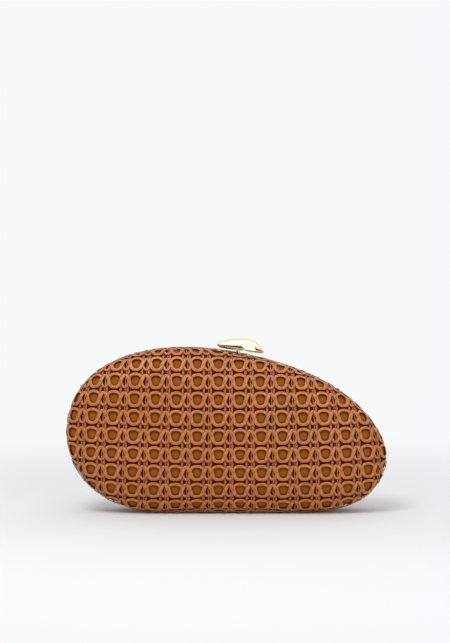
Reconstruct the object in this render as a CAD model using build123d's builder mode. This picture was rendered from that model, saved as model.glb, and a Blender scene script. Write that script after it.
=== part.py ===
"""Egg-shaped box clutch: two moulded halves covered in cane webbing.

The halves meet on the plane y = 0, hinge along the flat bottom and are held
shut by a press clasp on top.  The front faces -Y, +X is to the right as seen
from the front, +Z is up, and the origin is on the floor under the middle.
All sizes are in millimetres.
"""
from math import cos, pi, sin
import os

from build123d import *

os.makedirs("parts", exist_ok=True)

# Overall size of the closed bag, without the clasp
bag_width = 200.0
bag_height = 102.4
bag_depth = 52.0

# The outline seen from the front: corners of the flat base, then the points
# of the smooth curve that runs round the bag, as shares of width and height
base_share = (-0.215, 0.205)
curve_shares = [
    (0.455, 0.130), (0.496, 0.300), (0.414, 0.635), (0.225, 0.862),
    (0.020, 0.972), (-0.240, 0.985), (-0.455, 0.765), (-0.499, 0.450),
    (-0.440, 0.180),
]
straight_side = 4.0     # flat part of the sides behind the rim, along Y
fullness = 2.5          # how boxy the bulge of each half is: 2 is an ellipse
crown_steps = 9         # slices from the crest of the rim to the middle of a face
crown_reach = 0.965     # share of the quarter turn covered before the flat cap
rim_steps = 4           # slices round the turned-in rim

# Layers of each half, from the outside in
weave_thickness = 1.6
backing_thickness = 0.4
shell_thickness = 2.0
lining_thickness = 0.6
wall = weave_thickness + backing_thickness + shell_thickness

# Metal frame round each mouth
lip_thickness = 1.0     # along Y, from the parting plane
lip_cover = 1.0         # how far the lip reaches out past the shell's inner face
band_thickness = 1.0
crest_depth = lip_thickness + wall
frame_bore = wall + band_thickness

# Bottom hinge
hinge_length = 60.0
hinge_height = 2.4
knuckle_radius = 1.5
pin_radius = 0.75
pin_clearance = 0.08
knuckle_gap = 0.25
leaf_thickness = 0.8
leaf_gap = 0.1          # between each leaf and the parting plane
swing_clearance = 0.3
leaf_rivet_x = 24.0

# Rivets
rivet_radius = 0.8
rivet_head_radius = 1.5
rivet_head = 0.6

# Press clasp
clasp_x = 7.0
stem_y = 3.0
stem_radius = 1.2
stem_clearance = 0.1
press_travel = 1.0
travel_clearance = 0.2
clasp_tilt = 9.0        # degrees, down to the right
pebble_length = 30.0
pebble_depth = 13.0
pebble_top = 5.8
pebble_skirt = 1.1
plate_length = 27.0
plate_depth = 10.5
plate_thickness = 0.7
pebble_shift = (1.0, -2.2)    # middle of the pebble from the stem
bushing_radius = 1.75
bushing_clearance = 0.3

# Latch under the clasp
housing_width = 16.0
housing_front = 0.5
housing_back = 7.0
housing_roof = 2.6
housing_wall = 1.0
housing_rivet_x = 5.6
clip_radius = 2.3
clip_thickness = 0.6
clip_gap = 0.1
spring_length = 6.0
spring_wire = 0.4
spring_radius = 2.1
spring_turns = 5
tongue_thickness = 1.0
tongue_gap = 0.6
tongue_width = 13.0
fork_width = 5.0
tooth_height = 0.8
tooth_clearance = 0.35
catch_clearance = 0.15
catch_front = 0.6
catch_thickness = 1.0
tooth_length = 1.2
stirrup_thickness = 1.2
nut_radius = 2.4
nut_height = 1.4
tongue_rivet_x = 4.2


def outline(shrink, y, scale_by=1.0):
    """Face of the bag's outline at y, drawn in by shrink and scaled about its middle."""
    across = (bag_width - 2 * shrink) * scale_by
    tall = (bag_height - 2 * shrink) * scale_by
    foot = (bag_height - tall) / 2
    left, right = (share * across for share in base_share)
    points = [(x * across, foot + z * tall) for x, z in curve_shares]
    with BuildSketch(Plane.XZ.offset(-y)) as drawn:
        with BuildLine():
            Line((left, foot), (right, foot))
            Spline((right, foot), *points, (left, foot), tangents=((1, 0), (1, 0)),
                   tangent_scalars=(1, 1))
        make_face()
    return drawn.sketch


def slices(side, inset):
    """Faces of one half drawn in by inset, from its mouth to its middle."""
    rim_radius = max(wall - inset, 0.0)
    faces = []
    if rim_radius > 0:
        for step in range(rim_steps):
            turn = step / rim_steps * pi / 2
            faces.append(outline(wall - rim_radius * sin(turn),
                                 side * (crest_depth - rim_radius * cos(turn))))
        faces.append(outline(inset, side * crest_depth))
    else:
        faces.append(outline(inset, side * lip_thickness))
    bulge = bag_depth / 2 - inset - crest_depth - straight_side
    for step in range(crown_steps):
        turn = step / (crown_steps - 1) * crown_reach * pi / 2
        depth = crest_depth + straight_side + bulge * sin(turn) ** (2 / fullness)
        faces.append(outline(inset, side * depth, cos(turn) ** (2 / fullness)))
    return faces


def half_body(side, inset):
    """Solid of one whole half, drawn in by inset all round."""
    with BuildPart() as body:
        add(slices(side, inset))
        loft(ruled=True)
    return body.part


def mouth_block(side, shrink, depth):
    """Straight block with the outline drawn in by shrink, from the parting plane."""
    with BuildPart() as block:
        extrude(outline(shrink, 0), amount=depth, dir=(0, side, 0))
    return block.part


def roof_height(shrink, x):
    """Height of the drawn-in outline's top edge over x."""
    probe = Edge.make_line((x, 0, bag_height / 2), (x, 0, 2 * bag_height))
    return (outline(shrink, 0).faces()[0] & probe).bounding_box().max.Z


def finish(builder, name):
    """Label a finished piece and write its STEP file."""
    builder.part.label = name
    export_step(builder.part, f"parts/{name}.step")


halves = {"front": -1, "back": 1}
with BuildPart() as inside_frame:
    extrude(outline(frame_bore, 0), amount=bag_depth, both=True)
with BuildPart() as inside_shell:
    extrude(outline(wall, 0), amount=bag_depth, both=True)
seat_height = roof_height(frame_bore, clasp_x)
crest_height = roof_height(0, clasp_x)
base_height = wall + band_thickness      # height of the band's inner face at the base

# Cutting tools shared by the two halves
with BuildPart() as hinge_room:
    with Locations((0, 0, hinge_height)):
        Cylinder(knuckle_radius + swing_clearance, hinge_length + 2 * knuckle_gap,
                 rotation=(0, 90, 0))
with BuildPart() as lip_notch:
    with Locations((0, 0, base_height / 2)):
        Box(hinge_length + 2 * knuckle_gap, 2 * lip_thickness, base_height)
with BuildPart() as clasp_bore:
    with Locations((clasp_x, stem_y, seat_height - housing_roof)):
        Cylinder(bushing_radius, bag_height, align=(Align.CENTER, Align.CENTER, Align.MIN))
with BuildPart() as weave_bore:
    with Locations((clasp_x, stem_y, seat_height)):
        Cylinder(bushing_radius + bushing_clearance, bag_height,
                 align=(Align.CENTER, Align.CENTER, Align.MIN))


def rivet_posts(side, xs, y, head_z, up):
    """Rivets with a head under or over a plate, clipped by the shell's inner face."""
    middle = (Align.CENTER, Align.CENTER)
    shank, head = (Align.MIN, Align.MAX) if up else (Align.MAX, Align.MIN)
    with BuildPart() as posts:
        for x in xs:
            with Locations((x, side * y, head_z)):
                Cylinder(rivet_radius, bag_height / 4, align=(*middle, shank))
                Cylinder(rivet_head_radius, rivet_head, align=(*middle, head))
        add(inside_shell.part, mode=Mode.INTERSECT)
    return posts.part


rivet_y = lip_thickness + (crest_depth - lip_thickness) / 2
leaf_top = base_height + leaf_thickness
leaf_rivets = {side: rivet_posts(side, (-leaf_rivet_x, leaf_rivet_x), rivet_y, leaf_top, up=False)
               for side in (-1, 1)}
housing_bottom_of_roof = seat_height - housing_roof
latch_rivets = rivet_posts(1, (clasp_x - housing_rivet_x, clasp_x + housing_rivet_x),
                           rivet_y, housing_bottom_of_roof, up=True)
tongue_rivets = rivet_posts(-1, (clasp_x - tongue_rivet_x, clasp_x + tongue_rivet_x),
                            rivet_y, housing_bottom_of_roof, up=True)

# Both halves: webbing, backing, shell, lining and frame; the back one is bored for the clasp
frame_rivets = {-1: [leaf_rivets[-1], tongue_rivets], 1: [leaf_rivets[1], latch_rivets]}
for name, side in halves.items():
    outer = half_body(side, 0)
    under_weave = half_body(side, weave_thickness)
    under_backing = half_body(side, weave_thickness + backing_thickness)
    cavity = half_body(side, wall)
    in_lining = half_body(side, wall + lining_thickness)
    mouth = mouth_block(side, wall, crest_depth)
    lip = mouth_block(side, wall - lip_cover, lip_thickness)
    skin_cuts = [hinge_room.part] if side < 0 else [hinge_room.part, weave_bore.part]
    core_cuts = [] if side < 0 else [clasp_bore.part]

    with BuildPart() as weave:
        add(outer)
        add([under_weave, mouth] + skin_cuts, mode=Mode.SUBTRACT)
    finish(weave, f"{name}_weave")

    with BuildPart() as backing:
        add(under_weave)
        add([under_backing, mouth] + skin_cuts, mode=Mode.SUBTRACT)
    finish(backing, f"{name}_backing")

    with BuildPart() as shell:
        add(under_backing)
        add([cavity, mouth] + core_cuts, mode=Mode.SUBTRACT)
    finish(shell, f"{name}_shell")

    with BuildPart() as lining:
        add(cavity)
        add([in_lining, mouth], mode=Mode.SUBTRACT)
    finish(lining, f"{name}_lining")

    with BuildPart() as frame:
        add(lip)
        add(mouth)
        add([inside_frame.part, hinge_room.part, lip_notch.part], mode=Mode.SUBTRACT)
        add(frame_rivets[side] + core_cuts, mode=Mode.SUBTRACT)
    finish(frame, f"{name}_frame")


def hinge_leaf(side, spans, bore):
    """Leaf on one frame: a foot on the band, webs and rolled knuckles over spans."""
    web_y = side * (leaf_gap + leaf_thickness / 2)
    web_foot = hinge_height + (knuckle_radius + pin_radius) / 2
    with BuildPart() as leaf:
        with Locations((0, side * leaf_gap, base_height)):
            Box(hinge_length, crest_depth - leaf_gap, leaf_thickness,
                align=(Align.CENTER, Align.MIN if side > 0 else Align.MAX, Align.MIN))
        for start, end in spans:
            with Locations(((start + end) / 2, web_y, web_foot)):
                Box(end - start, leaf_thickness, leaf_top - web_foot,
                    align=(Align.CENTER, Align.CENTER, Align.MIN))
            with Locations(((start + end) / 2, 0, hinge_height)):
                Cylinder(knuckle_radius, end - start, rotation=(0, 90, 0))
        with Locations((0, 0, hinge_height)):
            Cylinder(bore, 2 * hinge_length, rotation=(0, 90, 0), mode=Mode.SUBTRACT)
        add(leaf_rivets[side], mode=Mode.SUBTRACT)
    return leaf


# Bottom hinge: outer knuckles on the back leaf, the middle one on the front leaf
knuckle_edge = hinge_length / 6
with BuildPart() as back_leaf:
    add(hinge_leaf(1, [(-hinge_length / 2, -knuckle_edge - knuckle_gap),
                       (knuckle_edge + knuckle_gap, hinge_length / 2)], pin_radius).part)
finish(back_leaf, "hinge_leaf_back")

with BuildPart() as front_leaf:
    add(hinge_leaf(-1, [(-knuckle_edge, knuckle_edge)], pin_radius + pin_clearance).part)
finish(front_leaf, "hinge_leaf_front")

with BuildPart() as hinge_pin:
    with Locations((0, 0, hinge_height)):
        Cylinder(pin_radius, hinge_length, rotation=(0, 90, 0))
finish(hinge_pin, "hinge_pin")

for side, name in ((-1, "leaf_rivets_front"), (1, "leaf_rivets_back")):
    with BuildPart() as rivets:
        add(leaf_rivets[side])
    finish(rivets, name)

# Latch housing in the back half: roof under the band, two sides and a floor
clip_top = housing_bottom_of_roof - clip_gap
spring_top = clip_top - clip_thickness
floor_top = spring_top - spring_length
floor_bottom = floor_top - housing_wall
housing_depth = housing_back - housing_front
with BuildPart() as latch_housing:
    with Locations((clasp_x, housing_front, floor_bottom)):
        Box(housing_width, housing_depth, bag_height / 4,
            align=(Align.CENTER, Align.MIN, Align.MIN))
    with Locations((clasp_x, housing_front, floor_top)):
        Box(housing_width - 2 * housing_wall, housing_depth, housing_bottom_of_roof - floor_top,
            align=(Align.CENTER, Align.MIN, Align.MIN), mode=Mode.SUBTRACT)
    with Locations((clasp_x, stem_y, floor_bottom)):
        Cylinder(stem_radius + stem_clearance, bag_height / 4, mode=Mode.SUBTRACT)
    add(inside_frame.part, mode=Mode.INTERSECT)
    add([clasp_bore.part, latch_rivets], mode=Mode.SUBTRACT)
    add(lining.part, mode=Mode.SUBTRACT)
finish(latch_housing, "latch_housing")

with BuildPart() as housing_rivets:
    add(latch_rivets)
finish(housing_rivets, "housing_rivets")

with BuildPart() as bushing:
    with Locations((clasp_x, stem_y, housing_bottom_of_roof)):
        Cylinder(bushing_radius, crest_height - housing_bottom_of_roof,
                 align=(Align.CENTER, Align.CENTER, Align.MIN))
        Cylinder(stem_radius + stem_clearance, 2 * bag_height, mode=Mode.SUBTRACT)
finish(bushing, "clasp_bushing")

# Moving clasp: pebble on a thin plate, stem, clip, stirrup and nut
plate_bottom = crest_height + press_travel + travel_clearance
tongue_top = floor_bottom - tongue_gap
tongue_bottom = tongue_top - tongue_thickness
stirrup_top = tongue_bottom - tooth_height - tooth_clearance
stirrup_bottom = stirrup_top - stirrup_thickness
catch_top = tongue_bottom - catch_clearance
pebble_x = clasp_x + pebble_shift[0]
pebble_y = stem_y + pebble_shift[1]
pebble_plane = Plane(origin=(pebble_x, pebble_y, plate_bottom)).rotated((0, clasp_tilt, 0))

with BuildPart() as clasp_plate:
    with BuildSketch(pebble_plane):
        Ellipse(plate_length / 2, plate_depth / 2)
    extrude(amount=plate_thickness)
finish(clasp_plate, "clasp_plate")

with BuildPart() as pebble_blank:
    Sphere(1)
    scale(by=(pebble_length / 2, pebble_depth / 2, pebble_top))
    with Locations((0, 0, -pebble_skirt)):
        Box(2 * pebble_length, 2 * pebble_depth, pebble_top + pebble_skirt,
            align=(Align.CENTER, Align.CENTER, Align.MIN), mode=Mode.INTERSECT)
with BuildPart() as clasp_pebble:
    add(pebble_plane.offset(plate_thickness + pebble_skirt) * pebble_blank.part)
finish(clasp_pebble, "clasp_pebble")

with BuildPart() as clasp_stem:
    with Locations((clasp_x, stem_y, stirrup_bottom - nut_height)):
        Cylinder(stem_radius, plate_bottom - stirrup_bottom + nut_height + pebble_top / 2,
                 align=(Align.CENTER, Align.CENTER, Align.MIN))
    add([clasp_plate.part, clasp_pebble.part], mode=Mode.SUBTRACT)
    add(clasp_stem.solids().sort_by(Axis.Z)[0], mode=Mode.INTERSECT)
finish(clasp_stem, "clasp_stem")

with BuildPart() as stem_clip:
    with Locations((clasp_x, stem_y, spring_top)):
        Cylinder(clip_radius, clip_thickness, align=(Align.CENTER, Align.CENTER, Align.MIN))
        Cylinder(stem_radius, bag_height, mode=Mode.SUBTRACT)
finish(stem_clip, "stem_clip")

with BuildPart() as stirrup:
    with Locations((clasp_x, catch_front, stirrup_bottom)):
        Box(tongue_width, 2 * (stem_y - catch_front), stirrup_thickness,
            align=(Align.CENTER, Align.MIN, Align.MIN))
        Box(tongue_width, catch_thickness, catch_top - stirrup_bottom,
            align=(Align.CENTER, Align.MIN, Align.MIN))
    with Locations((clasp_x, stem_y, stirrup_bottom)):
        Cylinder(stem_radius, bag_height, mode=Mode.SUBTRACT)
finish(stirrup, "latch_stirrup")

with BuildPart() as stem_nut:
    with BuildSketch(Plane.XY.offset(stirrup_bottom - nut_height)):
        with Locations((clasp_x, stem_y)):
            RegularPolygon(nut_radius, 6)
            Circle(stem_radius, mode=Mode.SUBTRACT)
    extrude(amount=nut_height)
finish(stem_nut, "stem_nut")

coil_rise = spring_length - spring_wire
with BuildPart() as spring:
    with BuildLine(Plane((clasp_x, stem_y, floor_top + spring_wire / 2))) as coil:
        Helix(coil_rise / spring_turns, coil_rise, spring_radius - spring_wire / 2)
    with BuildSketch(Plane(coil.line @ 0, z_dir=coil.line % 0)):
        Circle(spring_wire / 2)
    sweep(is_frenet=True)
finish(spring, "clasp_spring")

# Striker tongue on the front half: foot on the band, drop and toothed fork
tooth_front = catch_front + catch_thickness + catch_clearance
with BuildPart() as tongue:
    with Locations((clasp_x, -leaf_gap, housing_bottom_of_roof)):
        Box(tongue_width, crest_depth - leaf_gap, bag_height / 4,
            align=(Align.CENTER, Align.MAX, Align.MIN))
    with Locations((clasp_x, -crest_depth, tongue_bottom)):
        Box(tongue_width, tongue_thickness, bag_height / 4,
            align=(Align.CENTER, Align.MIN, Align.MIN))
        Box(tongue_width, crest_depth + tooth_front + tooth_length, tongue_thickness,
            align=(Align.CENTER, Align.MIN, Align.MIN))
    with Locations((clasp_x, tooth_front, tongue_bottom)):
        Box(tongue_width, tooth_length, tooth_height,
            align=(Align.CENTER, Align.MIN, Align.MAX))
    with Locations((clasp_x, leaf_gap, tongue_top)):
        Box(fork_width, bag_depth, 2 * bag_height,
            align=(Align.CENTER, Align.MIN, Align.CENTER), mode=Mode.SUBTRACT)
    add(inside_frame.part, mode=Mode.INTERSECT)
    add(tongue_rivets, mode=Mode.SUBTRACT)
finish(tongue, "striker_tongue")

with BuildPart() as striker_rivets:
    add(tongue_rivets)
finish(striker_rivets, "striker_rivets")
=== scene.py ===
"""Looks of the egg-shaped box clutch: cane webbing, gilt fittings, cloth and studio."""

import logging
import math
from dataclasses import dataclass
from enum import Enum
from functools import partial
from typing import Callable

import bpy
import bmesh
import numpy as np
from bpy.types import ID, Material, Mesh, Node, NodeSocket, NodeTree, Object
from mathutils import Matrix, Vector
from mathutils.bvhtree import BVHTree

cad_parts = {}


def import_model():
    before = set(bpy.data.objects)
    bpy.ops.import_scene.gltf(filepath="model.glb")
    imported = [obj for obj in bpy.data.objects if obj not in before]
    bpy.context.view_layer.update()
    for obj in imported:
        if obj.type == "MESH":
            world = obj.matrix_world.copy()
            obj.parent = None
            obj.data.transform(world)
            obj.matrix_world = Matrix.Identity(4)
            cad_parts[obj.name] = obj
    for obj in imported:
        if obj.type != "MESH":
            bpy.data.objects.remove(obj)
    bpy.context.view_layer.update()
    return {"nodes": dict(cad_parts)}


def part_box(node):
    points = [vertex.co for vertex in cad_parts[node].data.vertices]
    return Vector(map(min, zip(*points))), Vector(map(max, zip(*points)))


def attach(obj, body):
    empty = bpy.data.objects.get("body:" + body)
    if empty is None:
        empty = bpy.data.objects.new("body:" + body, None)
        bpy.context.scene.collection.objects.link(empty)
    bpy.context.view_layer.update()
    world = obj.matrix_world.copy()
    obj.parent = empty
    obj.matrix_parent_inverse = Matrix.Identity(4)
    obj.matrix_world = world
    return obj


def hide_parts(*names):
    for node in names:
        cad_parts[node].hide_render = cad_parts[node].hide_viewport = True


LOG = logging.getLogger("box_clutch")
MM = 0.001


class Side(Enum):
    """Which half of the bag a piece belongs to; the value is its direction along Y."""

    FRONT = -1
    BACK = 1

    @property
    def body(self) -> str:
        """Name of the body that this half rides on."""
        return "front_half" if self is Side.FRONT else "back_half"

    @property
    def prefix(self) -> str:
        """Word that this half's nodes start with."""
        return self.name.lower()


# ---- helpers


def linear(hex_colour: str) -> tuple[float, float, float, float]:
    """Turn an sRGB hex colour into a linear one.

    Args:
        hex_colour: Six hex digits, with or without a leading #.

    Returns:
        Red, green, blue and alpha, linear, each from 0 to 1.
    """
    digits = hex_colour.lstrip("#")
    shares = [int(digits[i:i + 2], 16) / 255 for i in (0, 2, 4)]
    red, green, blue = (s / 12.92 if s <= 0.04045 else ((s + 0.055) / 1.055) ** 2.4
                        for s in shares)
    return red, green, blue, 1.0


def add_node(
    tree: NodeTree,
    kind: str,
    links: dict[str | int, NodeSocket] | None = None,
    values: dict[str | int, object] | None = None,
    **settings: object,
) -> Node:
    """Add one node to a tree, with its settings, its plain values and its links.

    Args:
        tree: The node tree to add to.
        kind: The node's type name.
        links: Output sockets to join to this node's inputs, by name or number.
        values: Plain values for this node's inputs, by name or number.
        **settings: Properties of the node itself.

    Returns:
        The new node.
    """
    node = tree.nodes.new(kind)
    for name, value in settings.items():
        setattr(node, name, value)
    join(node, links or {}, values or {})
    return node


def join(node: Node, links: dict[str | int, NodeSocket], values: dict[str | int, object]) -> None:
    """Set a node's plain values and join sockets to its other inputs.

    Args:
        node: The node.
        links: Output sockets, by the name or number of the input that they go to.
        values: Plain values, by the name or number of their input.
    """
    for key, value in values.items():
        node.inputs[key].default_value = value
    for key, socket in links.items():
        node.id_data.links.new(socket, node.inputs[key])


def scene_object(name: str, data: ID) -> Object:
    """Put a mesh, a lamp or a camera into the scene.

    Args:
        name: Name of the object.
        data: The mesh, lamp or camera.

    Returns:
        The new object.
    """
    obj = bpy.data.objects.new(name, data)
    bpy.context.scene.collection.objects.link(obj)
    return obj


def mesh_object(name: str, points: np.ndarray, faces: list[tuple[int, ...]]) -> Object:
    """Make a smooth-shaded mesh object from points and faces.

    Args:
        name: Name of the object and its mesh.
        points: One row of x, y, z per point, in metres.
        faces: Point numbers round each face.

    Returns:
        The new object, linked to the scene.
    """
    mesh = bpy.data.meshes.new(name)
    mesh.from_pydata(points.tolist(), [], faces)
    mesh.polygons.foreach_set("use_smooth", [True] * len(mesh.polygons))
    mesh.update()
    return scene_object(name, mesh)


def tube_faces(rings: int, sides: int) -> list[tuple[int, ...]]:
    """Join rings of points, numbered one ring after another, with four-sided faces.

    Args:
        rings: How many rings there are.
        sides: Points in each ring.

    Returns:
        Point numbers round each face.
    """
    faces = []
    for first in range(0, (rings - 1) * sides, sides):
        for k in range(sides):
            a, b = first + k, first + (k + 1) % sides
            faces.append((a, b, b + sides, a + sides))
    return faces


def write_uv(mesh: Mesh, pairs: np.ndarray) -> None:
    """Give a mesh a UV map with one pair for each of its points.

    Args:
        mesh: The mesh to change.
        pairs: One row of two numbers per point.
    """
    layer = mesh.uv_layers.new(name="UVMap")
    corner = np.empty(len(mesh.loops), dtype=int)
    mesh.loops.foreach_get("vertex_index", corner)
    layer.data.foreach_set("uv", pairs[corner].ravel())


def face_outwards(mesh: Mesh) -> None:
    """Turn every face of a mesh outwards.

    Args:
        mesh: The mesh to change.
    """
    bm = bmesh.new()
    bm.from_mesh(mesh)
    bmesh.ops.recalc_face_normals(bm, faces=bm.faces)
    bm.to_mesh(mesh)
    bm.free()


def new_material(name: str) -> tuple[Material, Callable[..., Node], Node, NodeSocket]:
    """Start a material that has a principled shader.

    Args:
        name: Name of the material.

    Returns:
        The material, what adds a node to it, its shader and its Object coordinates.
    """
    material = bpy.data.materials.new(name)
    material.use_nodes = True
    tree = material.node_tree
    add = partial(add_node, tree)
    place = add("ShaderNodeTexCoord")
    return material, add, tree.nodes["Principled BSDF"], place.outputs["Object"]


def dress(obj: Object, material: Material) -> None:
    """Give an object one material, in every slot that it has.

    Args:
        obj: The object to dress.
        material: The material.
    """
    slots = obj.data.materials
    if not slots:
        slots.append(material)
    for number in range(len(slots)):
        slots[number] = material


# ---- finishes


@dataclass(frozen=True)
class CaneStrand:
    """Flat paper-cane strand, dyed tan and waxed: fine long fibres and a soft sheen."""

    base: str = "A96533"
    light: str = "D99B69"
    dark: str = "6F3312"
    recess: str = "661C02"  # painted shade where strands lie deep in the weave
    deep: float = 0.30 * MM  # height over the backing where the painted shade is darkest
    clear: float = 0.95 * MM  # height over the backing where the painted shade has faded out
    fibre: float = 0.00012  # width of one fibre, drawn a little coarse so that it shows
    roughness: float = 0.38
    run: float = 22.0  # length of one fibre, in widths

    def build(self) -> Material:
        """Build the material; it reads the strands' own UV map, in metres along and across.

        Returns:
            The finished material.
        """
        material, add, shader, here = new_material("waxed_paper_cane")
        strand = add("ShaderNodeUVMap", uv_map="UVMap")
        fibres = add("ShaderNodeMapping", {"Vector": strand.outputs["UV"]},
                     {"Scale": (1 / (self.run * self.fibre), 1 / self.fibre, 1.0)})
        grain = add("ShaderNodeTexNoise", {"Vector": fibres.outputs["Vector"]},
                    {"Scale": 1.0, "Detail": 3.0, "Roughness": 0.6})
        patches = add("ShaderNodeTexNoise", {"Vector": here},
                      {"Scale": 1 / (9 * MM), "Detail": 2.0})
        toned = add("ShaderNodeValToRGB", {"Fac": grain.outputs["Fac"]})
        toned.color_ramp.elements[0].position = 0.30
        toned.color_ramp.elements[0].color = linear(self.dark)
        toned.color_ramp.elements[1].position = 0.72
        toned.color_ramp.elements[1].color = linear(self.light)
        middle = toned.color_ramp.elements.new(0.5)
        middle.color = linear(self.base)
        shade = add("ShaderNodeMapRange", {"Value": patches.outputs["Fac"]},
                    {"From Min": 0.3, "From Max": 0.7, "To Min": 0.86, "To Max": 1.1})
        varied = add("ShaderNodeHueSaturation",
                     {"Color": toned.outputs["Color"], "Value": shade.outputs["Result"]},
                     {"Saturation": 1.05})
        # Painted shade: the lower a strand lies over the backing, the nearer its colour goes to the
        # deep-shade colour, and the lower its specular level.
        height = add("ShaderNodeAttribute", attribute_name="height")
        rise = add("ShaderNodeMapRange", {"Value": height.outputs["Fac"]},
                   {"From Min": self.deep, "From Max": self.clear}, interpolation_type="SMOOTHSTEP")
        painted_shade_mixed = add("ShaderNodeMix",
                      {"Factor": rise.outputs["Result"], "B": varied.outputs["Color"]},
                      {"A": linear(self.recess)}, data_type="RGBA")
        relief = add("ShaderNodeBump", {"Height": grain.outputs["Fac"]},
                     {"Strength": 0.35, "Distance": 0.12 * MM})
        rough = add("ShaderNodeMapRange", {"Value": grain.outputs["Fac"]},
                    {"To Min": self.roughness - 0.08, "To Max": self.roughness + 0.14})
        gloss = add("ShaderNodeMapRange", {"Value": rise.outputs["Result"]},
                    {"To Min": 0.04, "To Max": 0.6})
        join(shader,
             {"Base Color": painted_shade_mixed.outputs["Result"], "Normal": relief.outputs["Normal"],
              "Roughness": rough.outputs["Result"], "Specular IOR Level": gloss.outputs["Result"]},
             {"IOR": 1.48})
        return material


@dataclass(frozen=True)
class WovenCloth:
    """Plain-weave cloth glued flat: a fine crossed thread pattern and no gloss."""

    name: str
    base: str
    dark: str
    thread: float = 0.0008  # the threads come 0.63 of this apart
    roughness: float = 0.85

    def build(self) -> Material:
        """Build the material on Object coordinates.

        Returns:
            The finished material.
        """
        material, add, shader, here = new_material(self.name)
        scale = 3.14 / (2 * math.pi * self.thread)
        warp, weft = (
            add("ShaderNodeTexWave", {"Vector": here},
                     {"Scale": scale, "Distortion": 0.6, "Detail": 1.0}, bands_direction=way)
            for way in "XZ")
        both = add("ShaderNodeMath", {0: warp.outputs["Fac"], 1: weft.outputs["Fac"]},
                   operation="MULTIPLY")
        mottle = add("ShaderNodeTexNoise", {"Vector": here}, {"Scale": 1 / (3 * MM), "Detail": 3.0})
        mixed = add("ShaderNodeMath", {0: both.outputs["Value"], 1: mottle.outputs["Fac"]},
                    operation="MULTIPLY")
        toned = add("ShaderNodeMix", {"Factor": mixed.outputs["Value"]},
                    {"A": linear(self.dark), "B": linear(self.base)}, data_type="RGBA")
        relief = add("ShaderNodeBump", {"Height": both.outputs["Value"]},
                     {"Strength": 0.4, "Distance": 0.2 * MM})
        join(shader, {"Base Color": toned.outputs["Result"], "Normal": relief.outputs["Normal"]},
             {"Roughness": self.roughness, "Sheen Weight": 0.25})
        return material


@dataclass(frozen=True)
class BackingCloth:
    """Golden-brown bookcloth under the webbing: its own colour in the open cells, painted shade at
    their edges and under the strands.
    """

    # The open-cell colour is the cloth's own; the two after it are painted shade, at the cells'
    # edges and under the strands.
    open_cell: str = "8E4F16"
    rim: str = "6A2C05"
    covered: str = "541501"
    thread: float = 0.45 * MM
    hole_middle: tuple[float, float, float] = (0.5, 0.52, 0.0)  # in shares of a cell
    hole_shape: tuple[float, float, float] = (1.0, 0.9, 0.0)  # less is longer that way

    def build(self) -> Material:
        """Build the material; its UV map counts the webbing's cells.

        Returns:
            The finished material.
        """
        material, add, shader, here = new_material("golden_brown_bookcloth")
        cells = add("ShaderNodeUVMap", uv_map="UVMap")
        shifted = add("ShaderNodeVectorMath", {0: cells.outputs["UV"]}, {1: (0.5, 0.5, 0.0)},
                      operation="ADD")
        inside = add("ShaderNodeVectorMath", {0: shifted.outputs["Vector"]}, operation="FRACTION")
        middle = add("ShaderNodeVectorMath", {0: inside.outputs["Vector"]}, {1: self.hole_middle},
                     operation="SUBTRACT")
        round_cell = add("ShaderNodeVectorMath", {0: middle.outputs["Vector"]},
                         {1: self.hole_shape}, operation="MULTIPLY")
        away = add("ShaderNodeVectorMath", {0: round_cell.outputs["Vector"]}, operation="LENGTH")
        # Painted shade: the colour darkens with distance from each hole's middle, where the strands
        # cover the cloth.
        toned = add("ShaderNodeValToRGB", {"Fac": away.outputs["Value"]})
        toned.color_ramp.elements[0].position = 0.12
        toned.color_ramp.elements[0].color = linear(self.open_cell)
        toned.color_ramp.elements[1].position = 0.33
        toned.color_ramp.elements[1].color = linear(self.covered)
        edge = toned.color_ramp.elements.new(0.25)
        edge.color = linear(self.rim)
        weave = add("ShaderNodeTexNoise", {"Vector": here},
                    {"Scale": 1 / self.thread, "Detail": 2.0})
        shade = add("ShaderNodeMapRange", {"Value": weave.outputs["Fac"]},
                    {"From Min": 0.3, "From Max": 0.7, "To Min": 0.82, "To Max": 1.15})
        varied = add("ShaderNodeHueSaturation",
                     {"Color": toned.outputs["Color"], "Value": shade.outputs["Result"]})
        relief = add("ShaderNodeBump", {"Height": weave.outputs["Fac"]},
                     {"Strength": 0.4, "Distance": 0.15 * MM})
        join(shader, {"Base Color": varied.outputs["Color"], "Normal": relief.outputs["Normal"]},
             {"Roughness": 0.8, "Specular IOR Level": 0.06})
        return material


@dataclass(frozen=True)
class PlatedMetal:
    """Plated metal: a clean metallic colour, faintly uneven gloss and hairline polish marks."""

    name: str
    base: str
    roughness: float
    marks: float = 0.0003  # width of a polishing mark, coarse enough to show
    run: float = 30.0  # length of one mark, in widths

    def build(self) -> Material:
        """Build the material on Object coordinates.

        Returns:
            The finished material.
        """
        material, add, shader, here = new_material(self.name)
        stretched = add("ShaderNodeMapping", {"Vector": here},
                        {"Scale": (1 / (self.run * self.marks), 1 / self.marks, 1 / self.marks)})
        hairs = add("ShaderNodeTexNoise", {"Vector": stretched.outputs["Vector"]},
                    {"Scale": 1.0, "Detail": 2.0})
        clouds = add("ShaderNodeTexNoise", {"Vector": here}, {"Scale": 1 / (6 * MM), "Detail": 2.0})
        gloss = add("ShaderNodeMath", {0: hairs.outputs["Fac"], 1: clouds.outputs["Fac"]},
                    operation="MULTIPLY")
        rough = add("ShaderNodeMapRange", {"Value": gloss.outputs["Value"]},
                    {"From Max": 0.5, "To Min": self.roughness * 0.7,
                     "To Max": self.roughness * 1.4})
        relief = add("ShaderNodeBump", {"Height": hairs.outputs["Fac"]},
                     {"Strength": 0.03, "Distance": 0.05 * MM})
        join(shader, {"Roughness": rough.outputs["Result"], "Normal": relief.outputs["Normal"]},
             {"Base Color": linear(self.base), "Metallic": 1.0})
        return material


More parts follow.
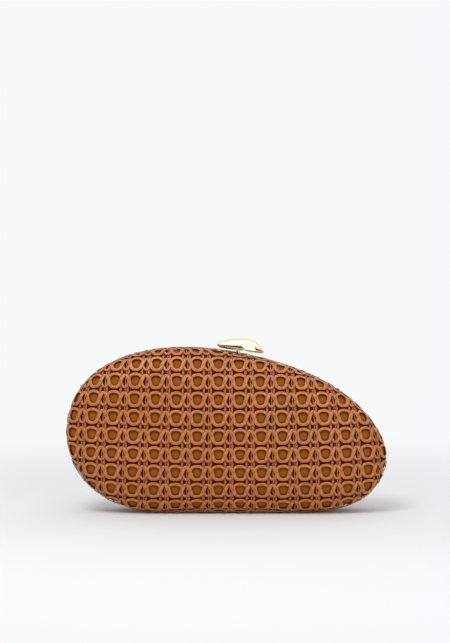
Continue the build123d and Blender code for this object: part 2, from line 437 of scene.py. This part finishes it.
@dataclass(frozen=True)
class MouldedPlastic:
    """Injection-moulded ABS: dull, with the fine spark-eroded texture of its tool."""

    name: str
    base: str
    grit: float = 0.0004  # size of the tool's texture
    roughness: float = 0.55

    def build(self) -> Material:
        """Build the material on Object coordinates.

        Returns:
            The finished material.
        """
        material, add, shader, here = new_material(self.name)
        texture = add("ShaderNodeTexNoise", {"Vector": here},
                      {"Scale": 1 / self.grit, "Detail": 2.0})
        relief = add("ShaderNodeBump", {"Height": texture.outputs["Fac"]},
                     {"Strength": 0.2, "Distance": 0.1 * MM})
        join(shader, {"Normal": relief.outputs["Normal"]},
             {"Base Color": linear(self.base), "Roughness": self.roughness})
        return material


# ---- the bag's skin


@dataclass
class ShellForm:
    """The bag's outer surface, unrolled: where each point of a flat web comes to lie.

    The web lies flat over the face of the half and turns over its edge square to the
    outline, keeping its length, until it tucks in under the metal lip.
    """

    side: Side
    outline: np.ndarray  # radius of the outline for each direction, metres
    directions: np.ndarray
    centre: tuple[float, float]
    depth: float  # half of the bag's depth, metres
    lip: float = 1.0 * MM
    rim_radius: float = 4.0 * MM
    straight: float = 4.0 * MM
    fullness: float = 2.5
    turn_in: float = 20.0 * MM  # inside this line the web lies as on a plane
    clear: float = 0.4 * MM  # backing's outer face above the shell
    margin: float = 10 * MM  # how far the flat web runs past what it covers
    cut: float = 0.9 * MM  # the web ends where the CAD skin is further off
    trim: float = 0.3 * MM  # what runs on under the metal lip
    same_depth: float = 0.02 * MM  # points this near in depth are on one line
    sectors: int = 720  # directions in which the outline is measured
    passes: int = 12  # times that the outline is smoothed
    cell: float = 1.0 * MM  # spacing of the web's points
    walk: float = 1.6  # length of each walk over the edge, in turn_in
    steps: int = 96  # points along each walk
    batch: int = 2000  # points laid at a time

    @classmethod
    def from_node(cls, node: Object, side: Side) -> "ShellForm":
        """Read the outline off a CAD skin, where its side is straight.

        Args:
            node: The CAD skin of this half.
            side: Which half it is.

        Returns:
            The form.
        """
        flat = np.empty(3 * len(node.data.vertices))
        node.data.vertices.foreach_get("co", flat)
        points = flat.reshape(-1, 3)
        low, high = points.min(axis=0), points.max(axis=0)
        centre = (0.0, (low[2] + high[2]) / 2)
        crest = cls.lip + cls.rim_radius
        near = np.abs(np.abs(points[:, 1]) - crest) < cls.same_depth
        x, z = points[near, 0] - centre[0], points[near, 2] - centre[1]
        angle, radius = np.arctan2(z, x), np.hypot(x, z)
        directions = np.linspace(-math.pi, math.pi, cls.sectors + 1)
        outer = np.zeros(len(directions))
        slot = np.round((angle + math.pi) / (2 * math.pi) * cls.sectors).astype(int)
        np.maximum.at(outer, np.clip(slot, 0, cls.sectors), radius)
        known = outer > 0
        outline = np.interp(directions, directions[known], outer[known], period=2 * math.pi)
        depth = max(abs(low[1]), abs(high[1]))
        return cls(side, outline, directions, centre, depth)

    def reach(self, x: np.ndarray, z: np.ndarray) -> np.ndarray:
        """Say how far out points of the parting plane lie.

        Args:
            x: Positions along, metres.
            z: Positions up, metres.

        Returns:
            Shares of the way from the middle to the outline.
        """
        dx, dz = x - self.centre[0], z - self.centre[1]
        edge = np.interp(np.arctan2(dz, dx), self.directions, self.outline)
        return np.hypot(dx, dz) / edge

    def crown(self, share: np.ndarray) -> np.ndarray:
        """Find the surface's distance from the parting plane.

        Args:
            share: Shares of the way from the middle to the outline.

        Returns:
            Distances, metres.
        """
        crest = self.lip + self.rim_radius + self.straight
        bulge = self.depth - crest
        inside = np.clip(1 - np.clip(share, 0, 1) ** self.fullness, 0, 1)
        return crest + bulge * inside ** (1 / self.fullness)

    def turning_line(self) -> tuple[np.ndarray, np.ndarray]:
        """Line inside the outline where the web starts to turn, and its outward normals.

        Returns:
            Points and unit normals, one row of x and z each.
        """
        x = self.centre[0] + self.outline * np.cos(self.directions)
        z = self.centre[1] + self.outline * np.sin(self.directions)
        edge = np.stack([x, z], axis=1)[:-1]
        for _ in range(self.passes):
            edge = (np.roll(edge, 1, axis=0) + edge * 2 + np.roll(edge, -1, axis=0)) / 4
        tangent = np.roll(edge, -1, axis=0) - np.roll(edge, 1, axis=0)
        normal = np.stack([tangent[:, 1], -tangent[:, 0]], axis=1)
        normal /= np.linalg.norm(normal, axis=1, keepdims=True)
        return edge - normal * self.turn_in, normal

    def lay(self, x: np.ndarray, z: np.ndarray) -> tuple[np.ndarray, np.ndarray]:
        """Lay points of a flat web on the surface.

        Args:
            x: Positions along the web, metres.
            z: Positions up the web, metres.

        Returns:
            Places, and the length left before the web's tucked-in edge.
        """
        line, normal = self.turning_line()
        place = np.empty((len(x), 3))
        spare = np.empty(len(x))
        for start in range(0, len(x), self.batch):
            part = slice(start, start + self.batch)
            flat = np.stack([x[part], z[part]], axis=1)
            gap = np.linalg.norm(flat[:, None] - line[None], axis=2)
            nearest = gap.argmin(axis=1)
            foot, out = line[nearest], normal[nearest]
            past = ((flat - foot) * out).sum(axis=1)
            foot = np.where(past[:, None] > 0, flat - out * past[:, None], flat)
            past = np.clip(past, 0, None)
            walk = np.linspace(0, self.walk * self.turn_in, self.steps)
            px = foot[:, None, 0] + out[:, None, 0] * walk
            pz = foot[:, None, 1] + out[:, None, 1] * walk
            share = self.reach(px, pz)
            deep = self.crown(share)
            length = np.zeros_like(deep)
            length[:, 1:] = np.cumsum(np.hypot(np.diff(walk)[None], np.diff(deep, axis=1)), axis=1)
            rim_at = np.array([np.interp(1.0, s, walk) for s in share])
            to_rim = np.array([np.interp(r, walk, l) for r, l in zip(rim_at, length)])
            over = past - to_rim
            along = np.array([np.interp(min(p, t), l, walk)
                              for p, t, l in zip(past, to_rim, length)])
            y = np.array([np.interp(p, l, d)
                          for p, l, d in zip(np.minimum(past, to_rim), length, deep)])
            straight = np.clip(over, 0, self.straight)
            y -= straight
            turn = np.clip((over - self.straight) / self.rim_radius, 0, math.pi / 2)
            y -= self.rim_radius * np.sin(turn)
            tucked = np.clip(over - self.straight - self.rim_radius * math.pi / 2, 0, None)
            inward = self.rim_radius * (1 - np.cos(turn)) + tucked
            reach = along - inward
            place[part, 0] = foot[:, 0] + out[:, 0] * reach
            place[part, 2] = foot[:, 1] + out[:, 1] * reach
            place[part, 1] = self.side.value * y
            spare[part] = self.straight + self.rim_radius * math.pi / 2 - over
        return place, spare

    def web(self, shell: Object, skin: Object) -> tuple[Object, np.ndarray, np.ndarray]:
        """Build the surface that the webbing is glued to, everywhere clear of the shell.

        Args:
            shell: The CAD shell under it.
            skin: The CAD skin, which shows where the webbing is cut away.

        Returns:
            The object, and the flat place and outward direction of each of its points.
        """
        wide = self.outline.max() + self.depth + self.margin
        tall = self.centre[1] + self.depth + self.margin
        nx, nz = int(2 * wide / self.cell), int(2 * tall / self.cell)
        xs = np.linspace(-wide, wide, nx)
        zs = np.linspace(self.centre[1] - tall, self.centre[1] + tall, nz)
        gx, gz = (g.ravel() for g in np.meshgrid(xs, zs))
        place, spare = self.lay(gx, gz)
        graph = bpy.context.evaluated_depsgraph_get()
        hard, cover = (BVHTree.FromObject(node, graph) for node in (shell, skin))
        number = np.full(len(gx), -1)
        points, outward = [], []
        for index in np.flatnonzero(spare > -self.trim):
            over = Vector(place[index])
            found = hard.find_nearest(over)[0]
            out = (over - found).normalized()
            spot = found + out * self.clear
            if cover.find_nearest(spot)[3] < self.cut:
                number[index] = len(points)
                points.append(spot)
                outward.append(out)
        grid = number.reshape(nz, nx)
        faces = []
        for row in range(nz - 1):
            for column in range(nx - 1):
                ring = (grid[row, column], grid[row, column + 1],
                        grid[row + 1, column + 1], grid[row + 1, column])
                if min(ring) >= 0:
                    faces.append(ring if self.side is Side.FRONT else ring[::-1])
        obj = mesh_object(f"{self.side.prefix}_web_form", np.array(points), faces)
        return obj, np.stack([gx, gz], axis=1)[number >= 0], np.array(outward)


@dataclass
class CaneWebbing:
    """Open cane webbing: rows of crossing zigzag strands over paired uprights."""

    form: ShellForm
    ground: Object  # the draped surface that the strands are glued to
    flat: np.ndarray  # flat place of each of its points
    outward: np.ndarray  # outward direction at each of them
    pitch_x: float = 13.05 * MM
    pitch_z: float = 11.28 * MM
    first_x: float = -5.2 * MM  # a hole's middle
    first_z: float = 48.4 * MM
    sag: float = 1.2 * MM  # rows hang lower in the middle of the face
    sag_reach: float = 85 * MM
    narrowing: float = 0.6  # share per metre by which cells narrow upwards
    strand_height: float = 0.46 * MM
    fold: float = 0.13 * MM  # how far a strand's middle lies below its edges
    pair_gap: float = 2.2  # millimetres from a lens to each of its two uprights
    pair_shift: float = 0.35  # millimetres that both lie further left
    cord_shift: float = -0.4  # millimetres by which the thin cord misses the cell's edge
    upright: float = 1.45  # width of an upright, millimetres
    cord: float = 0.8  # width of the thin cord, millimetres
    section: tuple[float, float] = (0.7, 0.8)  # below 1 is squarer: across, outwards
    girth: float = 1.1  # how much of the fibre pattern goes round, in widths
    proud: float = 0.2 * MM  # how far a strand may stand out of the skin's face
    columns: int = 23
    rows: int = 17
    steps: int = 22  # pieces along a zigzag strand in one cell
    fine: int = 12  # pieces of a smooth curve between two given points

    def smooth_path(self, points: list[tuple[float, float, float]], count: int) -> np.ndarray:
        """Resample a path through points with a smooth curve.

        Args:
            points: Points in millimetres: along, up and out.
            count: How many points the result has.

        Returns:
            The path in metres, evenly spaced.
        """
        given = np.array(points)
        ends = [2 * given[0] - given[1], *given, 2 * given[-1] - given[-2]]
        ends[0][1:] = given[1][1:]
        ends[-1][1:] = given[-2][1:]
        ends = np.array(ends)
        fine = []
        for i in range(1, len(ends) - 2):
            p0, p1, p2, p3 = ends[i - 1:i + 3]
            for t in np.linspace(0, 1, self.fine, endpoint=False):
                fine.append(0.5 * (2 * p1 + (p2 - p0) * t + (2 * p0 - 5 * p1 + 4 * p2 - p3) * t ** 2
                                   + (3 * p1 - p0 - 3 * p2 + p3) * t ** 3))
        fine.append(ends[-2])
        fine = np.array(fine)
        along = np.r_[0, np.cumsum(np.linalg.norm(np.diff(fine, axis=0), axis=1))]
        spread = np.linspace(0, along[-1], count)
        return np.stack([np.interp(spread, along, fine[:, k]) for k in range(3)], axis=1) * MM

    def ribbon(
        self, path: np.ndarray, widths: np.ndarray, thick: float, crease: float, sides: int = 8
    ) -> tuple[np.ndarray, list[tuple[int, ...]], np.ndarray]:
        """Sweep a flat rounded strip along a path.

        Args:
            path: Points in metres: along, up and out.
            widths: Width of the strip at each point, metres.
            thick: Thickness of the strip, metres.
            crease: How far the middle of the strip dips, metres.
            sides: Points round the strip's section.

        Returns:
            Points, faces and a UV pair per point: metres along and across.
        """
        flow = np.gradient(path[:, :2], axis=0)
        flow /= np.linalg.norm(flow, axis=1, keepdims=True)
        across = np.stack([-flow[:, 1], flow[:, 0]], axis=1)
        turn = (np.arange(sides) + 0.5) / sides * 2 * math.pi
        shape_u = np.sign(np.cos(turn)) * np.abs(np.cos(turn)) ** self.section[0]
        shape_v = np.sign(np.sin(turn)) * np.abs(np.sin(turn)) ** self.section[1]
        dip = crease * (1 - np.abs(shape_u)) * (shape_v > 0)
        points, uv = [], []
        length = np.r_[0, np.cumsum(np.linalg.norm(np.diff(path, axis=0), axis=1))]
        for i, centre in enumerate(path):
            half = widths[i] / 2
            flat = centre[:2] + across[i] * (shape_u * half)[:, None]
            points.append(np.column_stack([flat, centre[2] + shape_v * thick / 2 - dip]))
            step = 2 * half * self.girth / sides
            uv.append(np.column_stack([np.full(sides, length[i]),
                                       np.cumsum(np.full(sides, step))]))
        return np.vstack(points), tube_faces(len(path), sides), np.vstack(uv)

    def cell(self) -> Object:
        """Build the strands of one cell, which tile along and up.

        Returns:
            The cell as an object in the plane of x and y, with z outwards.
        """
        half_x, half_z = self.pitch_x / MM / 2, self.pitch_z / MM / 2
        # Each zigzag strand from the cell's left edge to its middle: along, up and out.
        over = ((0, 4.35, 0.75), (1.25, 3.2, 1.05), (2.6, 0.3, 1.27), (3.75, -2.6, 1.16),
                (5.1, -3.6, 1.0), (half_x, -3.75, 0.95))
        under = ((0, -3.75, 0.95), (1.15, -3.2, 0.95), (1.95, -1.5, 0.82), (2.5, 0.6, 0.62),
                 (3.1, 3.3, 0.95), (4.8, 4.45, 1.1), (half_x, 4.6, 1.1))
        spots = [0, 0.35, 0.6, 0.85, 1]
        strands = []
        for given, count, wide in ((over, self.steps + 1, (1.95, 2.15, 2.55, 2.2, 1.4)),
                                   (under, self.steps + 3, (1.85, 1.8, 1.6, 1.5, 1.6))):
            half = [(x - half_x, z, out) for x, z, out in given]
            mirrored = [(-x, z, out) for x, z, out in half[-2::-1]]
            path = self.smooth_path(half + mirrored, count)
            widths = np.interp(np.abs(path[:, 0]) / (half_x * MM), spots, wide) * MM
            strands.append((path, widths, self.strand_height, self.fold, 8))
        reach = half_x - self.pair_gap
        flat = (self.upright, self.strand_height, 2.4 * self.fold, 8)
        for x, ends, low, (wide, thick, crease, sides) in (
                (-reach - self.pair_shift, 0.72, 0.28, flat),
                (reach - self.pair_shift, 0.72, 0.28, flat),
                (half_x - self.cord_shift, 0.5, 0.5, (self.cord, 0.6 * MM, 0.0, 6))):
            path = self.smooth_path([(x, -half_z, ends), (x, 0, low), (x, half_z, ends)], 5)
            strands.append((path, np.full(5, wide) * MM, thick, crease, sides))
        points, faces, uvs, first = [], [], [], 0
        for line, widths, thick, crease, sides in strands:
            p, f, uv = self.ribbon(line, widths, thick, crease, sides)
            faces += [tuple(i + first for i in face) for face in f]
            points.append(p)
            uvs.append(uv)
            first += len(p)
        cloud = np.vstack(points)
        obj = mesh_object("cane_cell", cloud, faces)
        obj.data.attributes.new("height", "FLOAT", "POINT").data.foreach_set("value", cloud[:, 2])
        write_uv(obj.data, np.vstack(uvs))
        return obj

    def lattice(self, flat: np.ndarray) -> np.ndarray:
        """Place of flat points in the cells' grid, with the web's sag and narrowing.

        Args:
            flat: One row of x and z per point, metres.

        Returns:
            One row of column and row numbers per point.
        """
        x, z = flat[:, 0] - self.first_x, flat[:, 1] - self.first_z
        column = x / (self.pitch_x * (1 - self.narrowing * z))
        lifted = z - self.sag * np.clip(flat[:, 0] / self.sag_reach, -1.2, 1.2) ** 2
        return np.stack([column, lifted / self.pitch_z], axis=1)

    def tree(self, cell: Object, web: Object, material: Material) -> NodeTree:
        """Build the node tree that repeats the cell and lays it on the web's form.

        Args:
            cell: One cell of strands, flat.
            web: The draped form, whose flat_share attribute is its place in the grid.
            material: The strands' material.

        Returns:
            The node tree, with the grid's numbers and sizes as named inputs.
        """
        tree = bpy.data.node_groups.new("cane_webbing", "GeometryNodeTree")
        for name, kind in (("Columns", "NodeSocketInt"), ("Rows", "NodeSocketInt"),
                           ("Pitch Along", "NodeSocketFloat"), ("Pitch Up", "NodeSocketFloat")):
            tree.interface.new_socket(name, in_out="INPUT", socket_type=kind)
        tree.interface.new_socket("Geometry", in_out="OUTPUT", socket_type="NodeSocketGeometry")
        add = partial(add_node, tree)
        sizes = add("NodeGroupInput")
        spans, totals = [], []
        for count, pitch in (("Columns", "Pitch Along"), ("Rows", "Pitch Up")):
            less = add("ShaderNodeMath", {0: sizes.outputs[count]}, {1: 1.0}, operation="SUBTRACT")
            for number, found in ((less.outputs[0], spans), (sizes.outputs[count], totals)):
                times = add("ShaderNodeMath", {0: number, 1: sizes.outputs[pitch]},
                            operation="MULTIPLY")
                found.append(times.outputs[0])
        grid = add("GeometryNodeMeshGrid",
                   {"Size X": spans[0], "Size Y": spans[1], "Vertices X": sizes.outputs["Columns"],
                    "Vertices Y": sizes.outputs["Rows"]})
        one = add("GeometryNodeObjectInfo", values={"Object": cell})
        spread = add("GeometryNodeInstanceOnPoints",
                     {"Points": grid.outputs["Mesh"], "Instance": one.outputs["Geometry"]})
        real = add("GeometryNodeRealizeInstances", {"Geometry": spread.outputs["Instances"]})
        place = add("GeometryNodeInputPosition")
        parts = add("ShaderNodeSeparateXYZ", {0: place.outputs[0]})
        shares = []
        for axis, total in zip("XY", totals):
            share = add("ShaderNodeMath", {0: parts.outputs[axis], 1: total}, operation="DIVIDE")
            moved = add("ShaderNodeMath", {0: share.outputs[0]}, {1: 0.5}, operation="ADD")
            shares.append(moved.outputs[0])
        flat = add("ShaderNodeCombineXYZ", {"X": shares[0], "Y": shares[1]})
        form = add("GeometryNodeObjectInfo", values={"Object": web})
        uv = add("GeometryNodeInputNamedAttribute", values={"Name": "flat_share"},
                 data_type="FLOAT_VECTOR")
        here = add("GeometryNodeInputPosition")
        outward = add("GeometryNodeInputNamedAttribute", values={"Name": "outward"},
                      data_type="FLOAT_VECTOR")
        samples = []
        for source in (here.outputs[0], outward.outputs["Attribute"]):
            sample = add("GeometryNodeSampleUVSurface",
                         {"Mesh": form.outputs["Geometry"], "Value": source,
                          "Source UV Map": uv.outputs["Attribute"],
                          "Sample UV": flat.outputs[0]}, data_type="FLOAT_VECTOR")
            samples.append(sample)
        lift = add("ShaderNodeVectorMath",
                   {0: samples[1].outputs["Value"], "Scale": parts.outputs["Z"]}, operation="SCALE")
        target = add("ShaderNodeVectorMath", {0: samples[0].outputs["Value"], 1: lift.outputs[0]},
                     operation="ADD")
        missed = add("FunctionNodeBooleanMath", {0: samples[0].outputs["Is Valid"]},
                     operation="NOT")
        store = add("GeometryNodeStoreNamedAttribute",
                    {"Geometry": real.outputs["Geometry"], "Value": missed.outputs[0]},
                    {"Name": "missed"}, data_type="BOOLEAN", domain="POINT")
        laid = add("GeometryNodeSetPosition",
                   {"Geometry": store.outputs["Geometry"], "Position": target.outputs[0]})
        flag = add("GeometryNodeInputNamedAttribute", values={"Name": "missed"},
                   data_type="BOOLEAN")
        trimmed = add("GeometryNodeDeleteGeometry",
                      {"Geometry": laid.outputs["Geometry"],
                       "Selection": flag.outputs["Attribute"]}, domain="POINT")
        dressed = add("GeometryNodeSetMaterial", {"Geometry": trimmed.outputs["Geometry"]},
                      {"Material": material})
        add("NodeGroupOutput", {"Geometry": dressed.outputs["Geometry"]})
        return tree

    def build_backing(self, material: Material) -> Object:
        """Glue the backing cloth to the shell, under the webbing.

        Args:
            material: The cloth, whose painted shade follows the webbing's cells.

        Returns:
            The finished backing, riding on its half of the bag.
        """
        side, obj = self.form.side, self.ground
        obj.name = obj.data.name = f"{side.prefix}_cloth_backing"
        write_uv(obj.data, self.lattice(self.flat))
        solid = obj.modifiers.new("cloth_thickness", "SOLIDIFY")
        solid.thickness, solid.offset = 0.3 * MM, -1.0
        dress(obj, material)
        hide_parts(f"{side.prefix}_backing")
        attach(obj, side.body)
        return obj

    def press_down(self, mesh: Mesh, skin: Object) -> None:
        """Press strands that stand proud of the bag's outer face back onto it.

        Args:
            mesh: The woven strands.
            skin: The CAD skin, whose outer face they lie under.
        """
        face = BVHTree.FromObject(skin, bpy.context.evaluated_depsgraph_get())
        for vertex in mesh.vertices:
            found, outward, _, _ = face.find_nearest(vertex.co)
            if (vertex.co - found).dot(outward) > self.proud:
                vertex.co = found + outward * self.proud
        mesh.update()

    def build(self, material: Material, skin: Object) -> Object:
        """Weave the webbing over its form as one plain mesh.

        Args:
            material: The strands' material.
            skin: The CAD skin that the webbing takes the place of.

        Returns:
            The finished webbing, riding on its half of the bag.
        """
        side, web = self.form.side, self.ground
        share = self.lattice(self.flat)
        share = np.column_stack([share[:, 0] / self.columns + 0.5, share[:, 1] / self.rows + 0.5,
                                 np.zeros(len(share))])
        for name, rows in (("flat_share", share), ("outward", self.outward)):
            layer = web.data.attributes.new(name, "FLOAT_VECTOR", "POINT")
            layer.data.foreach_set("vector", rows.ravel())
        cell = self.cell()
        host = mesh_object(f"{side.prefix}_webbing_host", np.zeros((0, 3)), [])
        modifier = host.modifiers.new("weave", "NODES")
        modifier.node_group = self.tree(cell, web, material)
        given = {"Columns": self.columns, "Rows": self.rows, "Pitch Along": self.pitch_x,
                 "Pitch Up": self.pitch_z}
        for item in modifier.node_group.interface.items_tree:
            if item.in_out == "INPUT":
                modifier[item.identifier] = given[item.name]
        graph = bpy.context.evaluated_depsgraph_get()
        mesh = bpy.data.meshes.new_from_object(host.evaluated_get(graph))
        mesh.name = f"{side.prefix}_webbing"
        obj = scene_object(mesh.name, mesh)
        for spare in (host, cell):
            bpy.data.objects.remove(spare)
        face_outwards(mesh)
        mesh.polygons.foreach_set("use_smooth", [True] * len(mesh.polygons))
        self.press_down(mesh, skin)
        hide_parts(f"{side.prefix}_weave")
        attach(obj, side.body)
        return obj


# ---- clasp


@dataclass
class PebbleClasp:
    """Polished cast pebble: a low blunt nose on the left, highest near its sloped right end."""

    tilt: float = 9.0  # degrees that it leans down to the right
    tall: float = 7.6 * MM
    skirt: float = 0.9 * MM  # height of the side below the dome
    side_share: float = 0.15  # share of the rings that the side takes
    foot: float = 0.95  # size of the underside, in shares of the widest line
    dome: float = 0.8  # below 1 is fuller
    plan: tuple[float, float] = (0.87, 0.95)  # below 1 is squarer: along, across
    seat: float = 0.35 * MM  # underside above the middle of the plate
    rings: int = 40
    ribs: int = 96
    stations: tuple[float, ...] = (-1.0, -0.9, -0.5, 0.0, 0.36, 0.6, 0.8, 0.95, 1.0)
    heights: tuple[float, ...] = (0.44, 0.58, 0.78, 0.93, 1.0, 0.95, 0.72, 0.42, 0.30)

    def point(self, rise: float, angle: float, length: float, deep: float) -> Vector:
        """Find one point of the pebble, standing level on its flat underside.

        Args:
            rise: How far up the side and over the dome, from 0 to 1.
            angle: Direction round the pebble, radians.
            length: Length of the pebble, metres.
            deep: Depth of the pebble, metres.

        Returns:
            The point, metres.
        """
        low = rise < self.side_share
        over = (rise - self.side_share) / (1 - self.side_share) * math.pi / 2
        up = rise / self.side_share
        spread = (self.foot + (1 - self.foot) * math.sin(up * math.pi / 2) if low
                  else math.cos(over) ** self.dome)
        along, across = (math.copysign(abs(way) ** power, way) * spread
                         for way, power in zip((math.cos(angle), math.sin(angle)), self.plan))
        crown = self.tall * float(np.interp(along, self.stations, self.heights))
        lift = self.skirt * up if low else self.skirt + (crown - self.skirt) * math.sin(over)
        return Vector((along * length / 2, across * deep / 2, lift))

    def build(self, material: Material) -> Object:
        """Build the pebble in place of its CAD node.

        Args:
            material: The plated metal.

        Returns:
            The pebble, riding on the clasp.
        """
        low, high = map(np.array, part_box("clasp_pebble"))
        plate_low, plate_high = map(np.array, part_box("clasp_plate"))
        lean = math.radians(self.tilt)
        length, deep = (high[0] - low[0]) / math.cos(lean), high[1] - low[1]
        middle = Vector((low + high) / 2)
        middle.z = (plate_low[2] + plate_high[2]) / 2 + self.seat
        place = Matrix.Translation(middle) @ Matrix.Rotation(lean, 4, "Y")
        cloud = [place @ self.point(ring / self.rings, rib / self.ribs * 2 * math.pi, length, deep)
                 for ring in range(self.rings) for rib in range(self.ribs)]
        top = len(cloud)
        crown = self.tall * float(np.interp(0.0, self.stations, self.heights))
        cloud += [place @ Vector((0, 0, crown)), place @ Vector((0, 0, 0))]
        faces = tube_faces(self.rings, self.ribs)
        last = (self.rings - 1) * self.ribs
        for rib in range(self.ribs):
            following = (rib + 1) % self.ribs
            faces.append((last + rib, last + following, top))
            faces.append((following, rib, top + 1))
        obj = mesh_object("polished_pebble", np.array(cloud), faces)
        face_outwards(obj.data)
        dress(obj, material)
        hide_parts("clasp_pebble")
        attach(obj, "clasp")
        return obj


# ---- studio


@dataclass
class Studio:
    """Pale seamless floor, soft light from all round and a camera a little above the bag."""

    distance: float = 1.30
    camera_height: float = 0.176
    aim_height: float = 0.1183
    lens: float = 117.1
    shift: float = -0.0031
    ambient: float = 0.76
    room: float = 0.05  # what polished metal mirrors near the horizon
    sky_seen: float = 0.98  # past the paper's end the camera sees the same white
    sweep_start: float = 0.9
    sweep_radius: float = 0.9
    sweep_steps: int = 16
    reach: float = 4.0  # how far the floor runs forwards, and up behind
    half_width: float = 5.0
    near: float = 0.15  # the paper takes the bag's shadow up to here
    far: float = 0.5  # and is lit evenly from here on
    paper: str = "E5E5E6"
    backdrop: str = "F7F8FA"  # the evenly lit paper further off
    sky: str = "F9F9FB"
    overhead: float = 1.6  # what polished metal mirrors from above
    lamp_size: float = 0.6
    lamp_aim: tuple[float, float, float] = (0.0, 0.0, 0.05)
    lamps: tuple[tuple[str, tuple[float, float, float], float], ...] = (
        ("key_light", (-0.4, -0.8, 1.2), 8.6), ("fill_light", (0.4, -1.0, 0.28), 2.6))

    def build_floor(self) -> None:
        """Roll out the paper: flat under the bag and swept up behind it."""
        profile = [(-self.reach, 0.0), (self.sweep_start, 0.0)]
        for step in range(1, self.sweep_steps + 1):
            turn = step / self.sweep_steps * math.pi / 2
            profile.append((self.sweep_start + self.sweep_radius * math.sin(turn),
                            self.sweep_radius * (1 - math.cos(turn))))
        profile.append((profile[-1][0], self.reach))
        points = np.array([(x, y, z) for y, z in profile
                           for x in (-self.half_width, self.half_width)])
        faces = [(i, i + 1, i + 3, i + 2) for i in range(0, len(points) - 2, 2)]
        floor = mesh_object("studio_floor", points, faces)
        paper, add, shader, here = new_material("seamless_paper")
        away = add("ShaderNodeVectorMath", {0: here}, operation="LENGTH")
        far = add("ShaderNodeMapRange", {"Value": away.outputs["Value"]},
                  {"From Min": self.near, "From Max": self.far}, interpolation_type="SMOOTHSTEP")
        glow = add("ShaderNodeEmission", values={"Color": linear(self.backdrop)})
        blend = add("ShaderNodeMixShader",
                    {0: far.outputs["Result"], 1: shader.outputs["BSDF"],
                     2: glow.outputs["Emission"]})
        join(shader, {},
             {"Base Color": linear(self.paper), "Roughness": 0.9, "Specular IOR Level": 0.1})
        join(paper.node_tree.nodes["Material Output"], {"Surface": blend.outputs["Shader"]}, {})
        dress(floor, paper)

    def build_sky(self) -> None:
        """Light the room evenly, but let metal mirror a dim horizon and a bright ceiling."""
        world = bpy.data.worlds.new("studio_light")
        world.use_nodes = True
        add = partial(add_node, world.node_tree)
        view = add("ShaderNodeTexCoord")
        parts = add("ShaderNodeSeparateXYZ", {0: view.outputs["Generated"]})
        above = add("ShaderNodeMapRange", {"Value": parts.outputs["Z"]},
                    {"From Min": 0.24, "From Max": 0.6, "To Min": self.room,
                     "To Max": self.overhead}, interpolation_type="SMOOTHSTEP")
        path = add("ShaderNodeLightPath")
        strength = add("ShaderNodeMix",
                       {"Factor": path.outputs["Is Glossy Ray"], "B": above.outputs["Result"]},
                       {"A": self.ambient})
        seen = add("ShaderNodeMix",
                   {"Factor": path.outputs["Is Camera Ray"], "A": strength.outputs["Result"]},
                   {"B": self.sky_seen})
        join(world.node_tree.nodes["Background"], {"Strength": seen.outputs["Result"]},
             {"Color": linear(self.sky)})
        bpy.context.scene.world = world

    def build(self) -> None:
        """Make the floor, the lights and the camera, each turned towards its aim."""
        scene = bpy.context.scene
        scene.view_settings.view_transform = "Standard"
        self.build_floor()
        self.build_sky()
        made = []
        for name, place, power in self.lamps:
            lamp = bpy.data.lights.new(name, "AREA")
            lamp.energy, lamp.size = power, self.lamp_size
            made.append((lamp, place, self.lamp_aim))
        view = bpy.data.cameras.new("camera")
        view.lens, view.shift_x = self.lens, self.shift
        made.append((view, (0, -self.distance, self.camera_height), (0, 0, self.aim_height)))
        for data, place, target in made:
            obj = scene_object(data.name, data)
            obj.location = place
            way = Vector(target) - Vector(place)
            obj.rotation_euler = way.to_track_quat("-Z", "Y").to_euler()
        scene.camera = obj


@dataclass
class BoxClutch:
    """The whole bag: its two halves, its fittings and its clasp."""

    nodes: dict[str, Object]
    gilt: tuple[str, ...] = (
        "front_frame", "back_frame", "hinge_leaf_front", "hinge_leaf_back", "leaf_rivets_front",
        "leaf_rivets_back", "housing_rivets", "striker_rivets", "striker_tongue", "clasp_bushing")
    polished: tuple[str, ...] = ("clasp_plate",)
    steel: tuple[str, ...] = ("hinge_pin", "latch_housing", "clasp_stem", "stem_clip",
                              "latch_stirrup", "stem_nut", "clasp_spring")

    def dress_frame(self) -> None:
        """Give every carried-over CAD node its real finish."""
        finishes = (
            (self.gilt, PlatedMetal("satin_pale_gold_plate", "D8BC86", 0.24)),
            (self.polished, PlatedMetal("polished_pale_gold_plate", "E9D3A4", 0.07)),
            (self.steel, PlatedMetal("nickel_plated_steel", "C9C7C2", 0.22)),
            (("front_shell", "back_shell"), MouldedPlastic("moulded_brown_abs", "4A3020")),
            (("front_lining", "back_lining"), WovenCloth("tan_lining_cloth", "B98E66", "9A7350")),
        )
        for names, finish in finishes:
            material = finish.build()
            for name in names:
                dress(self.nodes[name], material)
            LOG.info("dressed %s with %s", ", ".join(names), material.name)

    def build(self) -> None:
        """Build the webbing of both halves and the pebble."""
        self.dress_frame()
        cane, cloth, made = CaneStrand().build(), BackingCloth().build(), []
        for side in Side:
            form = ShellForm.from_node(self.nodes[f"{side.prefix}_weave"], side)
            shell, skin = (self.nodes[f"{side.prefix}_{part}"] for part in ("shell", "weave"))
            cover = CaneWebbing(form, *form.web(shell, skin))
            made += [cover.build(cane, skin), cover.build_backing(cloth)]
        metal = PlatedMetal("mirror_pale_gold_plate", "F3E2C0", 0.05).build()
        made.append(PebbleClasp().build(metal))
        for piece in made:
            LOG.info("%s: %d faces", piece.name, len(piece.data.polygons))


def main() -> None:
    """Load the frame, and build the bag and the studio."""
    logging.basicConfig(level=logging.INFO, format="%(name)s: %(message)s")
    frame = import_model()
    BoxClutch(frame["nodes"]).build()
    Studio().build()


if __name__ == "__main__":
    main()
